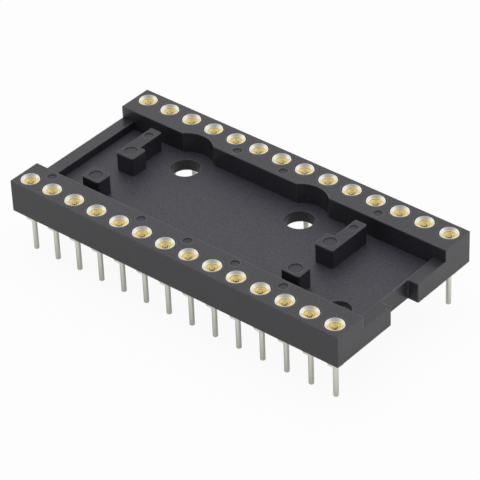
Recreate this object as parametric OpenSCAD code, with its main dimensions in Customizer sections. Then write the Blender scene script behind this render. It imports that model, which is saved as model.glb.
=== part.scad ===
// Open-frame dual-row chip socket with turned pin contacts. All sizes are in millimetres.
// It stands on its tail tips at z = 0, with +Z up. +X runs along the rows towards the index
// notch, and +Y points to the row that starts with contact 1.

/* [Contact grid] */
// Contacts in each of the two rows
pins_per_row = 14; // [12:1:14]
// Distance between neighbouring contacts in a row
pitch = 2.54; // [2.3:0.01:2.8]
// Distance between the two rows of contacts
row_spacing = 15.24; // [14.5:0.01:23]

/* [Insulator] */
// Height of the insulator over its rails
body_height = 3.08; // [2.6:0.01:4]
// Insulator beyond the last contact at each end
end_margin = 1.23; // [1.1:0.01:2]
// Insulator outside each row of contacts
side_margin = 1.25; // [1.1:0.01:2]
// Rail inside each row of contacts
rail_inner_margin = 2.12; // [1.9:0.01:2.6]
// Thickness of the floor between the rails
floor_thickness = 1.1; // [0.8:0.05:1.5]
// Height of the sill across each end
sill_height = 1.9; // [1.6:0.01:2.6]
// Width of the sill across each end
sill_width = 1.27; // [1:0.01:2]
// Radius of the insulator's upright corners
corner_radius = 0.12; // [0.1:0.01:0.6]
// Chamfer along the insulator's top edges
edge_chamfer = 0.05; // [0.03:0.01:0.15]

/* [Index notch] */
// Width of the notch in the sill at the contact 1 end
notch_width = 3.62; // [2.5:0.01:6]
// Distance of the notch's middle from the socket's middle, towards the back row
notch_shift = -0.09; // [-0.5:0.01:0.5]
// Sill left standing behind the notch
notch_wall = 0.22; // [0.15:0.01:0.5]
// Radius of the notch's inner corners
notch_corner_radius = 0.06; // [0.05:0.01:0.9]
// Radius of the notch's outer edges
notch_edge_radius = 0.1; // [0.05:0.05:0.4]

/* [Screw holes] */
// Diameter of the two holes through the floor
hole_d = 2.6; // [2:0.02:3.2]
// Diameter of the screw-head clearance cut into the back rail
head_cut_d = 5; // [4:0.1:5.4]
// Distance of the holes from the back row of contacts
hole_row_inset = 3.91; // [3.7:0.01:4.2]
// Distance between the holes, in pitches
hole_span_pitches = 5; // [4:0.5:6]
// Place of the middle between the holes, in pitches from the centre
hole_shift_pitches = -1; // [-1.5:0.5:0]

/* [Gate recess] */
// Diameter of the moulding gate's recess in the floor
gate_d = 2.2; // [1.6:0.1:2.6]
// Depth of the gate recess
gate_depth = 0.45; // [0.2:0.05:0.7]
// Diameter of the gate's broken-off nub
nub_d = 0.45; // [0.3:0.05:1]
// Height of the nub above the recess
nub_height = 0.4; // [0.2:0.05:1]
// Distance of the gate from the front row of contacts
gate_row_inset = 3.66; // [3.4:0.01:4.5]

/* [Floor blocks] */
// Length of each block's head along the rows
block_length = 1.95; // [1.6:0.05:2.4]
// Drop from the rail tops to the block tops
block_drop = 0.15; // [0:0.05:0.8]
// Distance between the outer faces of the left and right blocks, in pitches
block_span_pitches = 9.39; // [8.5:0.01:9.8]
// Place of the middle between the blocks, in pitches from the centre
block_shift_pitches = -0.64; // [-0.7:0.01:-0.3]
// Depth of an L-shaped block's head across the rows
head_depth = 1.85; // [1.6:0.05:2.2]
// Depth of an L-shaped block across the rows, head and arm together
arm_reach = 4.7; // [4:0.05:5]
// Width of an L-shaped block's arm
arm_width = 1.25; // [1.1:0.05:1.5]
// Gap from the arm's end to the back rail
arm_rail_gap = 0.85; // [0.5:0.05:1.2]
// Depth of a short block across the rows
stub_depth = 1.65; // [1.55:0.05:2.2]
// Gap from a short block to the front rail
stub_rail_gap = 1.05; // [0.5:0.05:1.4]
// Radius of the blocks' upright corners
block_radius = 0.25; // [0.1:0.05:0.5]

/* [Ejector marks] */
// Depth of the ejector pins' marks
mark_depth = 0.08; // [0.04:0.01:0.12]
// Diameter of the marks on the blocks' heads and on the short blocks
block_mark_d = 1.3; // [1:0.05:1.35]
// Diameter of the marks on the arms
arm_mark_d = 0.85; // [0.6:0.05:0.9]
// Distance of an arm's mark from the arm's end
arm_mark_inset = 1.05; // [0.8:0.05:1.4]
// Diameter of the marks on the rails
rail_mark_d = 0.85; // [0.6:0.05:0.9]
// Distance of the rails' marks from their row of contacts
rail_mark_inset = 1.36; // [1.3:0.01:1.5]

/* [Contact sleeves] */
// Diameter of a sleeve's head
head_d = 1.7; // [1.6:0.05:1.85]
// Thickness of the head
head_thickness = 0.4; // [0.25:0.05:0.8]
// Height of the head's rim above the insulator
head_proud = 0.02; // [0:0.01:0.2]
// Gap round the head in its seat
head_clearance = 0.05; // [0.02:0.01:0.1]
// Chamfer round the head's rim
rim_chamfer = 0.04; // [0.02:0.01:0.06]
// Diameter of the barrel, pressed into the insulator line to line
barrel_d = 1.37; // [1.3:0.01:1.5]
// Barrel below the insulator, which holds it off the board
standoff = 1.09; // [0.5:0.01:2]
// Chamfer round the barrel's shoulder
barrel_chamfer = 0.3; // [0.05:0.01:0.34]
// Diameter of the solder tail
tail_d = 0.46; // [0.4:0.01:0.6]
// Length of the solder tail below the barrel's shoulder
tail_length = 3.18; // [2.5:0.01:4]
// Chamfer round the tail's tip
tail_chamfer = 0.1; // [0.05:0.01:0.15]
// Width of the flat rim round the funnel's mouth
rim_land = 0.02; // [0.02:0.01:0.2]
// Depth of the funnel
mouth_depth = 0.2; // [0.1:0.01:0.35]
// Diameter of the bore below the funnel
bore_d = 1.15; // [0.9:0.01:1.2]
// Depth of the bore below the rim
bore_depth = 3; // [2.6:0.05:3.6]
// Point angle of the bore's drilled end
drill_angle = 118; // [90:1:140]

/* [Spring clips] */
// Wall thickness of the clip
clip_wall = 0.07; // [0.05:0.01:0.1]
// Height of the clip's closed ring
ring_height = 0.06; // [0.05:0.01:0.8]
// Height of the tapered part of the fingers
finger_height = 0.35; // [0.35:0.05:1.4]
// Drop from the ring to the upper ends of the slots between the fingers
slot_drop = 0.2; // [0.05:0.01:0.3]
// Height of the fingers' gripping ends
grip_height = 0.6; // [0.1:0.05:1]
// Opening between the fingers' ends
grip_d = 0.4; // [0.3:0.01:0.5]
// Loss of wall thickness along the gripping ends
tip_taper = 0.02; // [0.01:0.005:0.03]
// Width of the slots between the fingers
slot_width = 0.06; // [0.04:0.01:0.16]

/* [Hidden] */
$fn = 64;
insulator_black = [0.13, 0.125, 0.14];
tin = [0.8, 0.8, 0.77];
gold = [0.83, 0.69, 0.35];
// Distance by which a cut runs past the face that it opens
overrun = 0.5;
// Depth by which a raised feature runs into the floor below it
weld = 0.3;
// Gaps between neighbouring contacts that have a mark beside them, counted from the -X end
front_mark_gaps = [0, 4, 6, 8, 10];
back_mark_gaps = [4, 6, 10];

contact_count = 2 * pins_per_row;
last_column_x = (pins_per_row - 1) / 2 * pitch;
row_y = row_spacing / 2;
body_length = 2 * (last_column_x + end_margin);
body_width = 2 * (row_y + side_margin);
channel_y = row_y - rail_inner_margin;

body_bottom = tail_length + standoff;
body_top = body_bottom + body_height;
floor_top = body_bottom + floor_thickness;
sill_top = body_bottom + sill_height;
block_top = body_top - block_drop;
rim_top = body_top + head_proud;
head_bottom = rim_top - head_thickness;
mouth_d = head_d - 2 * (rim_chamfer + rim_land);
mouth_bottom = rim_top - mouth_depth;
bore_bottom = rim_top - bore_depth;
drill_tip = bore_d / 2 / tan(drill_angle / 2);

notch_depth = sill_width - notch_wall;
hole_y = row_y - hole_row_inset;
hole_mid_x = hole_shift_pitches * pitch;
hole_xs = [for (side = [-1, 1]) hole_mid_x + side * hole_span_pitches / 2 * pitch];
gate_x = last_column_x - pitch;
gate_y = gate_row_inset - row_y;
block_mid_x = block_shift_pitches * pitch;
block_span = block_span_pitches * pitch;
arm_end_y = channel_y - arm_rail_gap;
head_y = arm_end_y - arm_reach;
stub_y = stub_rail_gap - channel_y;

ring_bottom = mouth_bottom - ring_height;
grip_top = ring_bottom - finger_height;
tip_bottom = grip_top - grip_height;

function contact_x(n) = n <= pins_per_row
    ? last_column_x - (n - 1) * pitch
    : (n - pins_per_row - 1) * pitch - last_column_x;
function contact_y(n) = n <= pins_per_row ? row_y : -row_y;
function gap_x(g) = (g + 0.5) * pitch - last_column_x;
function numbered(name, n) = str(name, n < 10 ? "_0" : "_", n);

module at_contact(n) {
    translate([contact_x(n), contact_y(n), 0]) children();
}

// Rectangle about the origin with round corners
module rounded_rectangle(size, radius) {
    square([size.x - 2 * radius, size.y], center = true);
    square([size.x, size.y - 2 * radius], center = true);
    for (sx = [-1, 1], sy = [-1, 1])
        translate([sx * (size.x / 2 - radius), sy * (size.y / 2 - radius)])
            circle(radius);
}

// Upright section of a wall from its foot to its top, with both top edges chamfered
module chamfered_wall(width, foot, top) {
    polygon([
        [-width / 2, foot],
        [width / 2, foot],
        [width / 2, top - edge_chamfer],
        [width / 2 - edge_chamfer, top],
        [edge_chamfer - width / 2, top],
        [-width / 2, top - edge_chamfer]
    ]);
}

// The children, an upright section, drawn out along X or along Y
module along_x(length) {
    rotate([90, 0, 90]) linear_extrude(length, center = true) children();
}

module along_y(length) {
    rotate([90, 0, 0]) linear_extrude(length, center = true) children();
}

// Upright block about the Z axis with round corners and chamfered top edges
module chamfered_block(size, radius, foot, top) {
    intersection() {
        translate([0, 0, foot]) linear_extrude(top - foot) rounded_rectangle(size, radius);
        along_x(size.x) chamfered_wall(size.y, foot, top);
        along_y(size.y) chamfered_wall(size.x, foot, top);
    }
}

// Both rails and the floor that joins them
module frame_blank() {
    rail_width = body_width / 2 - channel_y;
    intersection() {
        chamfered_block([body_length, body_width], corner_radius, body_bottom, body_top);
        along_x(body_length) {
            translate([-body_width / 2, body_bottom]) square([body_width, floor_thickness]);
            for (side = [-1, 1])
                translate([side * (channel_y + rail_width / 2), 0])
                    chamfered_wall(rail_width, body_bottom, body_top);
        }
    }
}

module end_sill(side) {
    translate([side * (body_length - sill_width) / 2, 0, 0])
        along_y(2 * (channel_y + weld)) chamfered_wall(sill_width, body_bottom, sill_top);
}

// Places the children at both ends of the block pattern, the second time mirrored. There x = 0
// is the block's outer face, and +X points to the other block.
module at_block_pair() {
    for (flip = [0, 1])
        translate([block_mid_x, 0, 0])
            mirror([flip, 0, 0])
                translate([-block_span / 2, 0, 0])
                    children();
}

module floor_block(y, width, depth) {
    translate([width / 2, y + depth / 2, 0])
        chamfered_block([width, depth], block_radius, floor_top - weld, block_top);
}

module ejector_mark(x, y, diameter, top) {
    translate([x, y, top - mark_depth]) cylinder(d = diameter, h = mark_depth + overrun);
}

// L-shaped block: a head and the arm that runs from it towards the back rail
module arm_block() {
    difference() {
        union() {
            floor_block(head_y, block_length, head_depth);
            floor_block(head_y, arm_width, arm_reach);
        }
        ejector_mark(block_length / 2, head_y + head_depth / 2, block_mark_d, block_top);
        ejector_mark(arm_width / 2, arm_end_y - arm_mark_inset, arm_mark_d, block_top);
    }
}

module stub_block() {
    difference() {
        floor_block(stub_y, block_length, stub_depth);
        ejector_mark(block_length / 2, stub_y + stub_depth / 2, block_mark_d, block_top);
    }
}

module rail_marks() {
    mark_y = row_y - rail_mark_inset;
    for (g = front_mark_gaps) ejector_mark(gap_x(g), -mark_y, rail_mark_d, body_top);
    for (g = back_mark_gaps) ejector_mark(gap_x(g), mark_y, rail_mark_d, body_top);
}

// Room in the back rail for the heads of the screws
module screw_head_cuts() {
    for (x = hole_xs)
        translate([x, hole_y, floor_top]) cylinder(d = head_cut_d, h = body_height);
}

module screw_holes() {
    for (x = hole_xs)
        translate([x, hole_y, body_bottom - overrun])
            cylinder(d = hole_d, h = floor_thickness + 2 * overrun);
}

module gate_recess() {
    translate([gate_x, gate_y, floor_top - gate_depth]) cylinder(d = gate_d, h = gate_depth + overrun);
}

module gate_nub() {
    translate([gate_x, gate_y, body_bottom])
        cylinder(d = nub_d, h = floor_thickness - gate_depth + nub_height);
}

// Plan of the round by which the notch opens at one side of its mouth, in the end's face x = 0
module notch_edge() {
    difference() {
        translate([-notch_edge_radius, -notch_edge_radius])
            square([notch_edge_radius + overrun, 2 * notch_edge_radius]);
        translate([-notch_edge_radius, notch_edge_radius]) circle(notch_edge_radius);
    }
}

module index_notch() {
    translate([body_length / 2, notch_shift, body_bottom - overrun])
        linear_extrude(sill_height + 2 * overrun) {
            rounded_rectangle([2 * notch_depth, notch_width], min(notch_corner_radius, notch_depth));
            for (flip = [0, 1])
                mirror([0, flip]) translate([0, notch_width / 2]) notch_edge();
        }
}

// Counterbore for a sleeve's head over the hole that grips its barrel
module contact_seat() {
    translate([0, 0, head_bottom]) cylinder(d = head_d + 2 * head_clearance, h = head_thickness + overrun);
    translate([0, 0, body_bottom - overrun]) cylinder(d = barrel_d, h = body_height + 2 * overrun);
}

module insulator_body() {
    color(insulator_black)
        difference() {
            union() {
                difference() {
                    frame_blank();
                    screw_head_cuts();
                    gate_recess();
                    rail_marks();
                }
                for (side = [-1, 1]) end_sill(side);
                at_block_pair() arm_block();
                at_block_pair() stub_block();
                gate_nub();
            }
            index_notch();
            screw_holes();
            for (n = [1:contact_count]) at_contact(n) contact_seat();
        }
}

// Turned sleeve: solder tail, barrel and head, bored from the top with a funnel mouth
module contact_sleeve() {
    color(tin)
        rotate_extrude()
            polygon([
                [0, 0],
                [tail_d / 2 - tail_chamfer, 0],
                [tail_d / 2, tail_chamfer],
                [tail_d / 2, tail_length],
                [barrel_d / 2 - barrel_chamfer, tail_length],
                [barrel_d / 2, tail_length + barrel_chamfer],
                [barrel_d / 2, head_bottom],
                [head_d / 2, head_bottom],
                [head_d / 2, rim_top - rim_chamfer],
                [head_d / 2 - rim_chamfer, rim_top],
                [mouth_d / 2, rim_top],
                [bore_d / 2, mouth_bottom],
                [bore_d / 2, bore_bottom],
                [0, bore_bottom - drill_tip]
            ]);
}

// Spring clip: a closed ring that lines the bore and four fingers that close in below it
module spring_clip() {
    grip_r = grip_d / 2;
    slot_top = ring_bottom - slot_drop;
    slot_height = slot_top - tip_bottom + overrun;
    color(gold)
        difference() {
            rotate_extrude()
                polygon([
                    [bore_d / 2 - clip_wall, mouth_bottom],
                    [bore_d / 2, mouth_bottom],
                    [bore_d / 2, ring_bottom],
                    [grip_r + clip_wall, grip_top],
                    [grip_r + clip_wall - tip_taper, tip_bottom],
                    [grip_r, tip_bottom],
                    [grip_r, grip_top],
                    [bore_d / 2 - clip_wall, ring_bottom]
                ]);
            for (turn = [0, 90])
                rotate(turn)
                    translate([0, 0, slot_top - slot_height / 2])
                        cube([2 * bore_d, slot_width, slot_height], center = true);
        }
}

insulator_body();
for (n = [1:contact_count])
    at_contact(n) contact_sleeve();
for (n = [1:contact_count])
    at_contact(n) spring_clip();
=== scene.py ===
"""Dresses a dual-row chip socket and lights it as a plain studio picture.

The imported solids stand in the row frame, in metres: +X along the rows to the index notch, +Y to the back row and
+Z up from the tips of the solder tails.
"""

import logging
import math
from dataclasses import dataclass, field
from enum import Enum

import bmesh
import bpy
from mathutils import Matrix, Vector


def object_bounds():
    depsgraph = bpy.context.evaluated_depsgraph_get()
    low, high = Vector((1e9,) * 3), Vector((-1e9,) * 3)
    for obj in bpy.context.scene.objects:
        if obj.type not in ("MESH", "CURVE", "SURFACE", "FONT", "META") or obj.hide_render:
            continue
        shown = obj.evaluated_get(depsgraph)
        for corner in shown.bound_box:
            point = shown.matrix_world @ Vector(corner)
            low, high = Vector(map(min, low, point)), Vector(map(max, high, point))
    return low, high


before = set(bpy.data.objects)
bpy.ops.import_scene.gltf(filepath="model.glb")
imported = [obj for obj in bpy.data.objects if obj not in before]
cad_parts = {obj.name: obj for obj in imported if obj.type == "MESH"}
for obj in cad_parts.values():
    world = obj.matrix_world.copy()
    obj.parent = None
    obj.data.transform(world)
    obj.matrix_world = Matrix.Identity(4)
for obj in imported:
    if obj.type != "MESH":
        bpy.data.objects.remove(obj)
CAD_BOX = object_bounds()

LOG = logging.getLogger("socket")
MM = 0.001
# Side of the square picture
FRAME_PX = 480
WHITE = (1.0, 1.0, 1.0, 1.0)
# A wave texture turns through this many radians per unit of length at a scale of 1
WAVE_RADIANS = 20.0
# A Mix node has two inputs and an output of its own for each kind of data
FIRST_VECTOR, SECOND_VECTOR, MIXED_VECTOR = 4, 5, 1
FIRST_COLOUR, SECOND_COLOUR, MIXED_COLOUR = 6, 7, 2


class NodeFamily(Enum):
    """The three families of CAD nodes, by the start of their names."""

    BODY = "insulator_body"
    SLEEVE = "contact_sleeve_"
    CLIP = "spring_clip_"


def linear(hex_colour: str) -> tuple[float, float, float, float]:
    """Turns an sRGB hex colour into the linear values that sockets take.

    Args:
        hex_colour: Six hex digits after a hash, such as "#3a393d".

    Returns:
        Red, green, blue and an alpha of 1.
    """
    channels = [int(hex_colour[i:i + 2], 16) / 255 for i in (1, 3, 5)]
    bent = [c / 12.92 if c <= 0.04045 else ((c + 0.055) / 1.055) ** 2.4 for c in channels]
    return (*bent, 1.0)


def per_metre(size_mm: float) -> float:
    """Gives the texture scale at which one feature is that many millimetres wide."""
    return 1 / (size_mm * MM)


def add_node(
        tree: bpy.types.NodeTree, kind: str, inputs: dict[str | int, object] | None = None,
        **settings: object) -> bpy.types.Node:
    """Adds a node with its settings, socket values and links.

    Args:
        tree: The node tree that gets the node.
        kind: The node's type name.
        inputs: Socket name, or number where names repeat, to a value or to the output socket that is linked to it.
        **settings: Properties of the node itself.

    Returns:
        The new node.
    """
    made = tree.nodes.new(kind)
    for name, value in settings.items():
        setattr(made, name, value)
    for socket, value in (inputs or {}).items():
        if isinstance(value, bpy.types.NodeSocket):
            tree.links.new(value, made.inputs[socket])
        else:
            made.inputs[socket].default_value = value
    return made


def new_material(name: str) -> tuple[bpy.types.Material, bpy.types.NodeTree]:
    """Makes an empty node material.

    Args:
        name: The material's name.

    Returns:
        The material and its node tree.
    """
    material = bpy.data.materials.new(name)
    material.use_nodes = True
    material.node_tree.nodes.clear()
    return material, material.node_tree


def nodes_of(family: NodeFamily) -> dict[str, bpy.types.Object]:
    """Gives the CAD nodes of one family, by name and in order."""
    return {name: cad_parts[name] for name in sorted(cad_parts) if name.startswith(family.value)}


def wear(obj: bpy.types.Object, material: bpy.types.Material) -> None:
    """Gives an object one material in place of those it has."""
    obj.data.materials.clear()
    obj.data.materials.append(material)


@dataclass(frozen=True)
class MouldedPolyester:
    """Glass-filled polyester, injection moulded in a spark-eroded tool.

    To the eye it is a near-black plastic with a dull, even gloss: the tool's fine grain spreads the studio light
    into a grey veil. The outer corners are rounded in the shading and carry a thin painted highlight. The faces sunk
    between the rails are rougher, the floor there is painted paler to stand in for its light, and the torn gate is
    pale and dull.
    """

    # The colour and the gloss drift from one value to the other along the melt's flow
    pigment: tuple[str, str] = ("#28272d", "#2f2e35")
    roughness: tuple[float, float] = (0.3, 0.4)
    flow_mm: float = 4.0
    flow_detail: float = 6.0
    flow_unevenness: float = 0.7
    ior: float = 1.57
    # The tool's grain is about 0.03 mm, drawn at 0.12 mm because the picture shows nothing finer
    grain_mm: float = 0.12
    grain_detail: float = 2.0
    grain_height_mm: float = 0.006
    grain_strength: float = 0.35
    # The ends of glass fibres in the skin, drawn as coarse as the grain, speckle the colour by this share either way
    speckle: float = 0.6
    # Values of the grain at which the speckle is darkest and palest
    speckle_span: tuple[float, float] = (0.25, 0.75)
    # Outer corners are rounded in the shading and painted paler, which is a painted highlight
    edge_highlight: str = "#504e55"
    edge_radius_mm: float = 0.14
    # Shares of clear rays at which a corner starts to be rounded and highlighted, and at which it is fully so
    edge_span: tuple[float, float] = (0.98, 0.7)
    edge_rays: int = 8
    round_rays: int = 6
    # Where the gate broke off, the torn plastic is paler and dull
    scar: str = "#5a595c"
    scar_roughness: float = 0.6
    scar_at_mm: tuple[float, float] = (13.97, -3.96)
    scar_radius_mm: float = 1.15
    # Heights from a little under the recess to just under the floor's top
    scar_heights_mm: tuple[float, float] = (4.8, 5.36)
    # Between the sills no stone reached the tool's sunk faces, so they keep a rough grain. The floor's upward faces
    # there are painted paler, which is painted light that stands in for how bright they look
    sunk_roughness: tuple[float, float] = (0.45, 0.55)
    sunk_half_length_mm: float = 16.45
    sunk_below_mm: float = 7.28
    painted_floor_light: tuple[str, str] = ("#38363f", "#3f3d46")
    floor_below_mm: float = 5.38
    # A face is upward if the upright part of its normal is more than this
    upward_over: float = 0.5

    def material(self) -> bpy.types.Material:
        """Builds the plastic's material.

        Returns:
            A material with a speckled grain, drifting gloss, outer corners with a painted highlight, sunk faces,
            a floor painted paler as painted light, and a torn gate.
        """
        material, tree = new_material("glass_filled_polyester_moulded")
        place = add_node(tree, "ShaderNodeTexCoord").outputs["Object"]
        surface = add_node(tree, "ShaderNodeNewGeometry").outputs["Normal"]
        grain = add_node(tree, "ShaderNodeTexNoise", {
            "Vector": place, "Scale": per_metre(self.grain_mm), "Detail": self.grain_detail}).outputs["Fac"]
        flow = add_node(tree, "ShaderNodeTexNoise", {
            "Vector": place, "Scale": per_metre(self.flow_mm), "Detail": self.flow_detail,
            "Roughness": self.flow_unevenness}).outputs["Fac"]
        outer_corners = self._outer_corner_mask(tree)
        torn = self._torn_mask(tree, place)
        sunk = self._upward_below(tree, place, surface, self.sunk_below_mm)
        floor = self._upward_below(tree, place, surface, self.floor_below_mm)

        # The floor's upward faces get a paler colour, which is painted light
        colour, floor_light_colour = (
            add_node(tree, "ShaderNodeMix", {
                "Factor": flow, FIRST_COLOUR: linear(start), SECOND_COLOUR: linear(end)},
                data_type="RGBA").outputs[MIXED_COLOUR]
            for start, end in (self.pigment, self.painted_floor_light))
        # The outer corners get a painted highlight, and the torn gate keeps its own paler colour
        for mask, over in ((floor, floor_light_colour), (outer_corners, linear(self.edge_highlight)), (torn, linear(self.scar))):
            colour = add_node(tree, "ShaderNodeMix", {
                "Factor": mask, FIRST_COLOUR: colour, SECOND_COLOUR: over}, data_type="RGBA").outputs[MIXED_COLOUR]
        fibres = add_node(tree, "ShaderNodeMapRange", {
            "Value": grain, "From Min": self.speckle_span[0], "From Max": self.speckle_span[1],
            "To Min": 1 - self.speckle, "To Max": 1 + self.speckle}).outputs["Result"]
        speckled = add_node(tree, "ShaderNodeVectorMath", {0: colour, "Scale": fibres}, operation="SCALE").outputs[0]

        gloss, sunk_gloss = (
            add_node(tree, "ShaderNodeMapRange", {
                "Value": flow, "To Min": start, "To Max": end}).outputs["Result"]
            for start, end in (self.roughness, self.sunk_roughness))
        for mask, over in ((sunk, sunk_gloss), (torn, self.scar_roughness)):
            gloss = add_node(tree, "ShaderNodeMapRange", {
                "Value": mask, "To Min": gloss, "To Max": over}).outputs["Result"]

        rounded = add_node(tree, "ShaderNodeBevel", {
            "Radius": self.edge_radius_mm * MM}, samples=self.round_rays).outputs["Normal"]
        turned = add_node(tree, "ShaderNodeMix", {
            "Factor": outer_corners, FIRST_VECTOR: surface, SECOND_VECTOR: rounded}, data_type="VECTOR").outputs[MIXED_VECTOR]
        bump = add_node(tree, "ShaderNodeBump", {
            "Height": grain, "Normal": turned, "Strength": self.grain_strength,
            "Distance": self.grain_height_mm * MM}).outputs["Normal"]
        shader = add_node(tree, "ShaderNodeBsdfPrincipled", {
            "Base Color": speckled, "Roughness": gloss, "Normal": bump, "IOR": self.ior})
        add_node(tree, "ShaderNodeOutputMaterial", {"Surface": shader.outputs["BSDF"]})
        return material

    def _outer_corner_mask(self, tree: bpy.types.NodeTree) -> bpy.types.NodeSocket:
        """Marks the outer corners, which alone are rounded in the shading and get the painted highlight.

        Args:
            tree: The material's node tree.

        Returns:
            A socket that grows from 0 on flat faces and in inner corners to 1 at the outer corners.
        """
        # Short rays inside the moulding meet another face only by its outer corners
        inside = add_node(tree, "ShaderNodeAmbientOcclusion", {
            "Distance": self.edge_radius_mm * MM}, samples=self.edge_rays, inside=True, only_local=True)
        return add_node(tree, "ShaderNodeMapRange", {
            "Value": inside.outputs["AO"], "From Min": self.edge_span[0],
            "From Max": self.edge_span[1]}).outputs["Result"]

    def _torn_mask(self, tree: bpy.types.NodeTree, place: bpy.types.NodeSocket) -> bpy.types.NodeSocket:
        """Marks the sunken gate, where the plastic is torn.

        Args:
            tree: The material's node tree.
            place: The socket that gives a point's place on the moulding.

        Returns:
            A socket that is 1 in the recess and 0 elsewhere.
        """
        # The distance from the gate's middle is level, so heights are multiplied away
        flat = add_node(tree, "ShaderNodeVectorMath", {0: place, 1: (1, 1, 0)}, operation="MULTIPLY")
        middle = (self.scar_at_mm[0] * MM, self.scar_at_mm[1] * MM, 0)
        off = add_node(tree, "ShaderNodeVectorMath", {0: flat.outputs[0], 1: middle}, operation="DISTANCE")
        near = add_node(tree, "ShaderNodeMath", {
            0: off.outputs["Value"], 1: self.scar_radius_mm * MM}, operation="LESS_THAN")
        height = add_node(tree, "ShaderNodeSeparateXYZ", {0: place}).outputs["Z"]
        low, high = (mm * MM for mm in self.scar_heights_mm)
        sunken = add_node(tree, "ShaderNodeMath", {
            0: height, 1: (low + high) / 2, 2: (high - low) / 2}, operation="COMPARE")
        return add_node(tree, "ShaderNodeMath", {
            0: near.outputs[0], 1: sunken.outputs[0]}, operation="MULTIPLY").outputs[0]

    def _upward_below(
            self, tree: bpy.types.NodeTree, place: bpy.types.NodeSocket, surface: bpy.types.NodeSocket,
            below_mm: float) -> bpy.types.NodeSocket:
        """Marks the upward faces between the sills that lie below a height.

        Args:
            tree: The material's node tree.
            place: The socket that gives a point's place on the moulding.
            surface: The socket that gives the face's normal.
            below_mm: The height.

        Returns:
            A socket that is 1 on those faces and 0 elsewhere.
        """
        upright = add_node(tree, "ShaderNodeSeparateXYZ", {0: surface}).outputs["Z"]
        upward = add_node(tree, "ShaderNodeMath", {0: upright, 1: self.upward_over}, operation="GREATER_THAN")
        apart = add_node(tree, "ShaderNodeSeparateXYZ", {
            0: add_node(tree, "ShaderNodeVectorMath", {0: place}, operation="ABSOLUTE").outputs[0]})
        low = add_node(tree, "ShaderNodeMath", {0: apart.outputs["Z"], 1: below_mm * MM}, operation="LESS_THAN")
        within = add_node(tree, "ShaderNodeMath", {
            0: apart.outputs["X"], 1: self.sunk_half_length_mm * MM}, operation="LESS_THAN")
        both = add_node(tree, "ShaderNodeMath", {0: upward.outputs[0], 1: low.outputs[0]}, operation="MULTIPLY")
        return add_node(tree, "ShaderNodeMath", {
            0: both.outputs[0], 1: within.outputs[0]}, operation="MULTIPLY").outputs[0]


@dataclass(frozen=True)
class PlatedMetal:
    """Thin plating over a turned or formed copper alloy, the base of both metal finishes."""

    name: str
    # The colour and the gloss go from one value to the other in blotches
    colour: str
    shade: str
    roughness: tuple[float, float]
    blotch_mm: float
    # Feed marks run round the piece, so they are bands across its axis. Real ones are about 0.05 mm apart, and
    # these are drawn coarser, because the picture shows nothing so fine
    feed_mm: float
    feed_height_mm: float
    feed_strength: float = 0.3
    feed_distortion: float = 0.6
    feed_detail: float = 2.0
    blotch_detail: float = 3.0

    def material(self) -> bpy.types.Material:
        """Builds the metal's material.

        Returns:
            A metal with feed marks round its axis and a blotchy gloss.
        """
        material, tree = new_material(self.name)
        place = add_node(tree, "ShaderNodeTexCoord").outputs["Object"]
        feed = add_node(tree, "ShaderNodeTexWave", {
            "Vector": place, "Scale": per_metre(self.feed_mm) * math.tau / WAVE_RADIANS,
            "Distortion": self.feed_distortion, "Detail": self.feed_detail},
            wave_type="BANDS", bands_direction="Z", wave_profile="SIN").outputs["Fac"]
        blotch = add_node(tree, "ShaderNodeTexNoise", {
            "Vector": place, "Scale": per_metre(self.blotch_mm), "Detail": self.blotch_detail}).outputs["Fac"]
        colour = add_node(tree, "ShaderNodeMix", {
            "Factor": blotch, FIRST_COLOUR: linear(self.colour), SECOND_COLOUR: linear(self.shade)},
            data_type="RGBA").outputs[MIXED_COLOUR]
        gloss = add_node(tree, "ShaderNodeMapRange", {
            "Value": blotch, "To Min": self.roughness[0], "To Max": self.roughness[1]}).outputs["Result"]
        bump = add_node(tree, "ShaderNodeBump", {
            "Height": feed, "Strength": self.feed_strength,
            "Distance": self.feed_height_mm * MM}).outputs["Normal"]
        shader = add_node(tree, "ShaderNodeBsdfPrincipled", {
            "Base Color": colour, "Roughness": gloss, "Normal": bump, "Metallic": 1.0})
        add_node(tree, "ShaderNodeOutputMaterial", {"Surface": shader.outputs["BSDF"]})
        return material


# Bright tin is a warm white metal that mirrors the studio softly
TIN_PLATE = PlatedMetal(
    "tin_plate_on_turned_brass", colour="#f4f2e8", shade="#e5e3d8", roughness=(0.1, 0.18), blotch_mm=0.5,
    feed_mm=0.22, feed_height_mm=0.004)
# Thin gold over a spring alloy is a pale, clear yellow that deepens where it mirrors itself
GOLD_PLATE = PlatedMetal(
    "gold_plate_on_spring_alloy", colour="#feedae", shade="#f8e29f", roughness=(0.38, 0.5), blotch_mm=0.3,
    feed_mm=0.32, feed_height_mm=0.003)


@dataclass
class InsulatorBody:
    """The moulded frame of the socket."""

    finish: MouldedPolyester = field(default_factory=MouldedPolyester)

    def dress(self) -> None:
        """Gives the moulding its plastic."""
        material = self.finish.material()
        for name, obj in nodes_of(NodeFamily.BODY).items():
            wear(obj, material)
            LOG.info("%s wears %s", name, material.name)


@dataclass
class ContactSet:
    """The sleeves or the clips of both rows."""

    family: NodeFamily
    finish: PlatedMetal

    def dress(self) -> None:
        """Gives every piece of the set its plating."""
        material = self.finish.material()
        for name, obj in nodes_of(self.family).items():
            wear(obj, material)
            LOG.info("%s wears %s", name, material.name)


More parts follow.
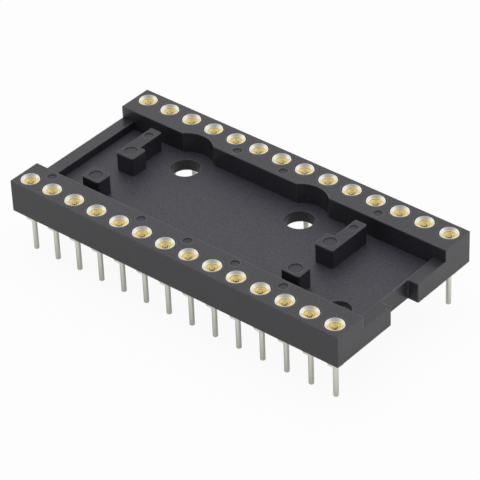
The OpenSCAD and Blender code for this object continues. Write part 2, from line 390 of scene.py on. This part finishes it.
@dataclass
class Viewpoint:
    """The camera, placed round a point on the plane of the sleeves' rims."""

    azimuth_deg: float = 41.1852
    elevation_deg: float = 36.3592
    roll_deg: float = -2.3935
    distance_mm: float = 227.0735
    aim_right_mm: float = 0.3296
    aim_up_mm: float = -2.9154
    focal_px: float = 2710.79
    sensor_mm: float = 36.0
    clip_mm: tuple[float, float] = (10.0, 10000.0)

    def build(self) -> None:
        """Makes the scene's camera."""
        azimuth, elevation, roll = (
            math.radians(a) for a in (self.azimuth_deg, self.elevation_deg, self.roll_deg))
        back = Vector((
            math.sin(azimuth) * math.cos(elevation), -math.cos(azimuth) * math.cos(elevation), math.sin(elevation)))
        level = Vector((math.cos(azimuth), math.sin(azimuth), 0))
        upright = back.cross(level)
        right = math.cos(roll) * level + math.sin(roll) * upright
        up = math.cos(roll) * upright - math.sin(roll) * level
        rims = Vector((0, 0, CAD_BOX[1].z))
        place = rims + (right * self.aim_right_mm + up * self.aim_up_mm + back * self.distance_mm) * MM
        data = bpy.data.cameras.new("viewpoint")
        data.sensor_width = self.sensor_mm
        data.lens = self.focal_px * self.sensor_mm / FRAME_PX
        data.clip_start, data.clip_end = (mm * MM for mm in self.clip_mm)
        camera = bpy.data.objects.new("viewpoint", data)
        camera.matrix_world = Matrix.Translation(place) @ Matrix((right, up, back)).transposed().to_4x4()
        bpy.context.scene.collection.objects.link(camera)
        bpy.context.scene.camera = camera


@dataclass
class SoftBox:
    """A square area light that faces the socket."""

    name: str
    place_mm: tuple[float, float, float]
    side_mm: float
    watts: float

    def build(self) -> None:
        """Makes the lamp and turns it to the socket's middle."""
        data = bpy.data.lights.new(self.name, "AREA")
        data.shape = "SQUARE"
        data.size = self.side_mm * MM
        data.energy = self.watts
        lamp = bpy.data.objects.new(self.name, data)
        lamp.location = Vector(self.place_mm) * MM
        # The lamp's sheet is wide and dim, so the socket's gloss shows the surroundings instead of it
        lamp.visible_glossy = False
        middle = (CAD_BOX[0] + CAD_BOX[1]) / 2
        lamp.rotation_euler = (middle - lamp.location).to_track_quat("-Z", "Y").to_euler()
        bpy.context.scene.collection.objects.link(lamp)


@dataclass
class Studio:
    """The pale floor, the white surroundings and the lamps."""

    floor_side_mm: float = 1600.0
    floor_paint: str = "#f2f2f0"
    # Share of the floor's own white over its shading, as it is seen and as it is mirrored
    floor_veil: float = 0.94
    floor_veil_mirrored: tuple[float, float] = (0.23, 0.95)
    # The mirrored white grows from one x to the other, because a white sheet lies beside the notch end
    floor_sheet_mm: tuple[float, float] = (20.0, 22.0)
    # Light from the surroundings, as a share of the white that they show
    ambient: float = 0.55
    # Above the socket, towards the front, the white surroundings have a dim opening
    opening: tuple[float, float, float] = (0.235, -0.42, 0.876)
    opening_level: float = 0.43
    # Cosines from the opening's middle between which the surroundings dim
    opening_span: tuple[float, float] = (0.42, 1.0)
    lamps: tuple[SoftBox, ...] = (
        SoftBox("softbox_top", place_mm=(0.0, 20.0, 250.0), side_mm=200.0, watts=0.3),
    )

    def build(self) -> None:
        """Builds the floor, the world and the lamps."""
        self._floor()
        self._world()
        for lamp in self.lamps:
            lamp.build()
        bpy.context.scene.view_settings.view_transform = "Standard"

    def _floor(self) -> None:
        """Makes the floor under the tips of the tails, white to the camera but for the shadow."""
        mesh = bpy.data.meshes.new("studio_floor")
        shape = bmesh.new()
        bmesh.ops.create_grid(shape, x_segments=1, y_segments=1, size=self.floor_side_mm * MM / 2)
        shape.to_mesh(mesh)
        shape.free()
        floor = bpy.data.objects.new("studio_floor", mesh)
        floor.location.z = CAD_BOX[0].z
        bpy.context.scene.collection.objects.link(floor)
        material, tree = new_material("studio_floor_matt_paint")
        paint = add_node(tree, "ShaderNodeBsdfDiffuse", {"Color": linear(self.floor_paint)})
        white = add_node(tree, "ShaderNodeEmission", {"Color": WHITE, "Strength": 1.0})
        place = add_node(tree, "ShaderNodeSeparateXYZ", {0: add_node(tree, "ShaderNodeTexCoord").outputs["Object"]})
        sheet = add_node(tree, "ShaderNodeMapRange", {
            "Value": place.outputs["X"],
            "From Min": self.floor_sheet_mm[0] * MM, "From Max": self.floor_sheet_mm[1] * MM,
            "To Min": self.floor_veil_mirrored[0], "To Max": self.floor_veil_mirrored[1]})
        mirrored = add_node(tree, "ShaderNodeMapRange", {
            "Value": self._seen_or_mirrored(tree), "To Min": 0.0, "To Max": sheet.outputs["Result"]})
        veil = add_node(tree, "ShaderNodeMapRange", {
            "Value": add_node(tree, "ShaderNodeLightPath").outputs["Is Camera Ray"],
            "To Min": mirrored.outputs["Result"], "To Max": self.floor_veil})
        mix = add_node(tree, "ShaderNodeMixShader", {
            "Fac": veil.outputs["Result"], 1: paint.outputs["BSDF"], 2: white.outputs["Emission"]})
        add_node(tree, "ShaderNodeOutputMaterial", {"Surface": mix.outputs["Shader"]})
        wear(floor, material)

    def _world(self) -> None:
        """Makes surroundings that are white to look at, white with a dim opening to mirror, and dim as a light."""
        world = bpy.data.worlds.new("studio_surroundings")
        world.use_nodes = True
        tree = world.node_tree
        tree.nodes.clear()
        way = add_node(tree, "ShaderNodeTexCoord").outputs["Generated"]
        facing = add_node(tree, "ShaderNodeVectorMath", {0: way, 1: self.opening}, operation="DOT_PRODUCT")
        sheets = add_node(tree, "ShaderNodeMapRange", {
            "Value": facing.outputs["Value"], "From Min": self.opening_span[0], "From Max": self.opening_span[1],
            "To Min": 1.0, "To Max": self.opening_level})
        share = add_node(tree, "ShaderNodeMapRange", {
            "Value": self._seen_or_mirrored(tree), "To Min": self.ambient, "To Max": 1.0})
        lit = add_node(tree, "ShaderNodeMath", {
            0: sheets.outputs["Result"], 1: share.outputs["Result"]}, operation="MULTIPLY")
        level = add_node(tree, "ShaderNodeMapRange", {
            "Value": add_node(tree, "ShaderNodeLightPath").outputs["Is Camera Ray"],
            "To Min": lit.outputs[0], "To Max": 1.0})
        sky = add_node(tree, "ShaderNodeBackground", {"Color": WHITE, "Strength": level.outputs["Result"]})
        add_node(tree, "ShaderNodeOutputWorld", {"Surface": sky.outputs["Background"]})
        bpy.context.scene.world = world

    @staticmethod
    def _seen_or_mirrored(tree: bpy.types.NodeTree) -> bpy.types.NodeSocket:
        """Finds the rays that come from the camera, straight, off a gloss or through a clear piece.

        Args:
            tree: The node tree that needs the answer.

        Returns:
            A socket that is 1 for those rays and 0 for the others.
        """
        path = add_node(tree, "ShaderNodeLightPath").outputs
        seen = add_node(tree, "ShaderNodeMath", {
            0: path["Is Camera Ray"], 1: path["Is Glossy Ray"]}, operation="MAXIMUM")
        either = add_node(tree, "ShaderNodeMath", {
            0: seen.outputs[0], 1: path["Is Transmission Ray"]}, operation="MAXIMUM")
        return either.outputs[0]


def main() -> None:
    """Dresses the socket, then sets up the studio and the camera."""
    logging.basicConfig(level=logging.INFO, format="%(name)s: %(message)s")
    InsulatorBody().dress()
    ContactSet(NodeFamily.SLEEVE, TIN_PLATE).dress()
    ContactSet(NodeFamily.CLIP, GOLD_PLATE).dress()
    Studio().build()
    Viewpoint().build()


if __name__ == "__main__":
    main()
